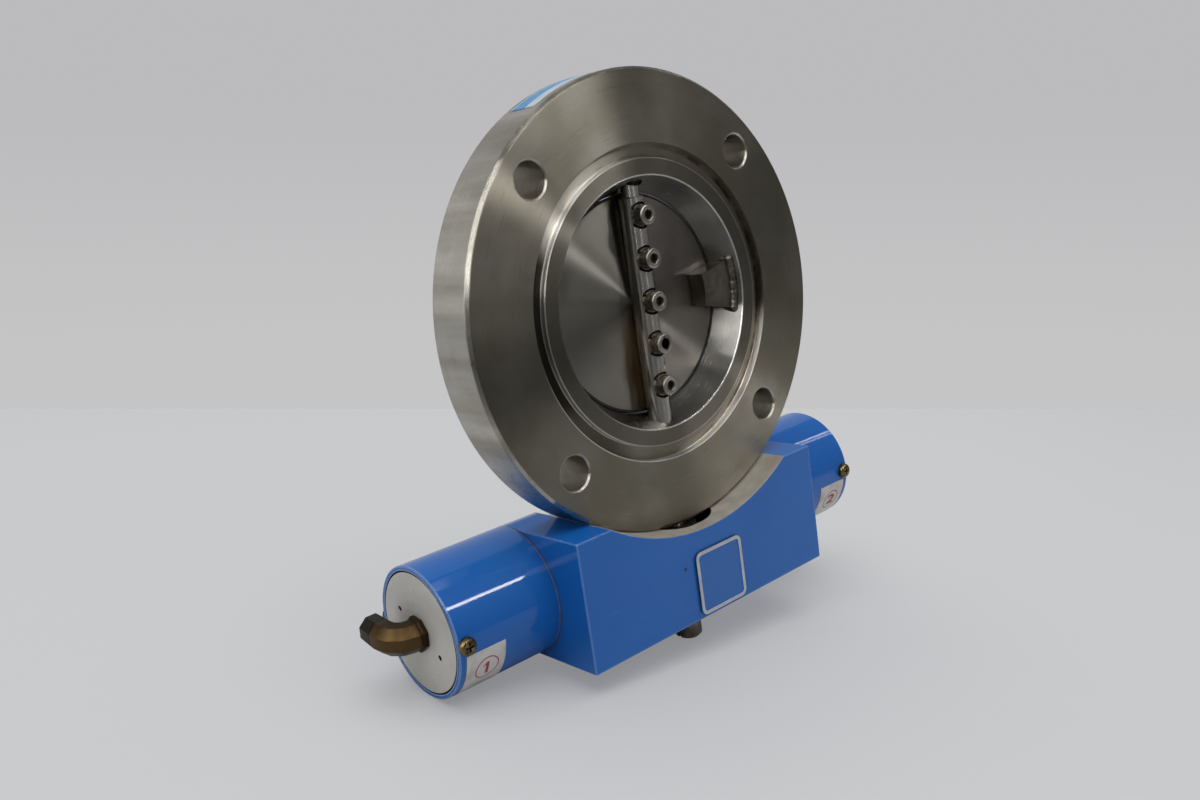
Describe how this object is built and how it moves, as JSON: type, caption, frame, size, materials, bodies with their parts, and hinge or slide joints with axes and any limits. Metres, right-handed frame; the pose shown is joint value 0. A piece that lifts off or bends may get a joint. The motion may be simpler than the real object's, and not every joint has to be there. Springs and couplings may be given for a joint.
{
  "type": "butterfly throttle valve",
  "caption": "Flanged butterfly throttle valve with a shaft-mounted disc, turned by a double-acting rack and pinion air actuator in a blue block with two cylinders.",
  "frame": {"origin": "where the axis of the bore crosses the axis of the disc shaft, at the centre of the flange's bolt circle", "axes": "-Y along the bore towards the open front with the disc screws, +Z along the shaft away from the actuator, +X along the actuator's cylinders to the right seen from the front"},
  "size_m": [0.228, 0.063, 0.206],
  "materials": {
    "turned_stainless": "turned stainless steel, concentric tool marks, ground rim",
    "ground_stainless": "cold rolled stainless plate and drawn bar, lightly heat tinted",
    "steel_screws": "stainless socket head screws and spring washers",
    "weld_bead": "shiny stainless weld bead",
    "blue_paint": "glossy blue enamel on aluminium, bare metal in the cradle",
    "cap_aluminium": "matte machined aluminium",
    "nameplate_metal": "silver frame with a blue enamelled field, bare",
    "fitting_brass": "dull brass with brown grime",
    "screw_brass": "brass plated pan head screws",
    "label_foil": "white adhesive label with a circled number",
    "rim_foil": "adhesive label, white strip beside a pale blue panel, bare",
    "bearing_bronze": "sintered bronze bush",
    "bearing_plastic": "glass-filled PTFE",
    "nitrile_rubber": "black nitrile O-ring",
    "gear_steel": "hobbed and oiled carbon steel",
    "piston_aluminium": "turned aluminium"
  },
  "bodies": {
    "base": {"valve_body": "turned_stainless", "disc_stop": "ground_stainless", "stop_weld": "weld_bead", "top_bush": "bearing_bronze", "shaft_bush": "bearing_bronze", "shaft_seals": "nitrile_rubber", "seal_retainer": "bearing_bronze", "rim_label": "rim_foil", "actuator_housing": "blue_paint", "body_screws": "steel_screws", "pinion_bush": "bearing_bronze", "thrust_washer": "bearing_plastic", "rack_guide": "bearing_plastic", "nameplate": "nameplate_metal", "left_cylinder_tube": "blue_paint", "left_tube_screws": "steel_screws", "left_end_cap": "cap_aluminium", "left_cap_seal": "nitrile_rubber", "left_cap_screws": "screw_brass", "left_elbow": "fitting_brass", "left_port_label": "label_foil", "right_cylinder_tube": "blue_paint", "right_tube_screws": "steel_screws", "right_end_cap": "cap_aluminium", "right_cap_seal": "nitrile_rubber", "right_cap_screws": "screw_brass", "right_elbow": "fitting_brass", "right_port_label": "label_foil"},
    "throttle": {"disc_shaft": "ground_stainless", "throttle_disc": "ground_stainless", "disc_screws": "steel_screws", "spring_washers": "steel_screws", "pinion": "gear_steel", "hub_pin": "gear_steel", "circlip": "gear_steel"},
    "rack": {"rack_bar": "gear_steel", "left_piston": "piston_aluminium", "right_piston": "piston_aluminium", "piston_bolts": "steel_screws", "piston_seals": "nitrile_rubber", "wear_rings": "bearing_plastic"}
  },
  "joints": [
    {"name": "shaft_turn", "type": "hinge", "parent": "base", "child": "throttle", "pos_m": [0, 0, 0], "axis": [0, 0, 1], "range_deg": [0, 90]},
    {"name": "rack_slide", "type": "slide", "parent": "base", "child": "rack", "axis": [1, 0, 0], "range_m": [-0.01571, 0]}
  ],
  "couplings": [
    {"joint": "rack_slide", "follows": "shaft_turn", "m_per_rad": -0.01}
  ]
}
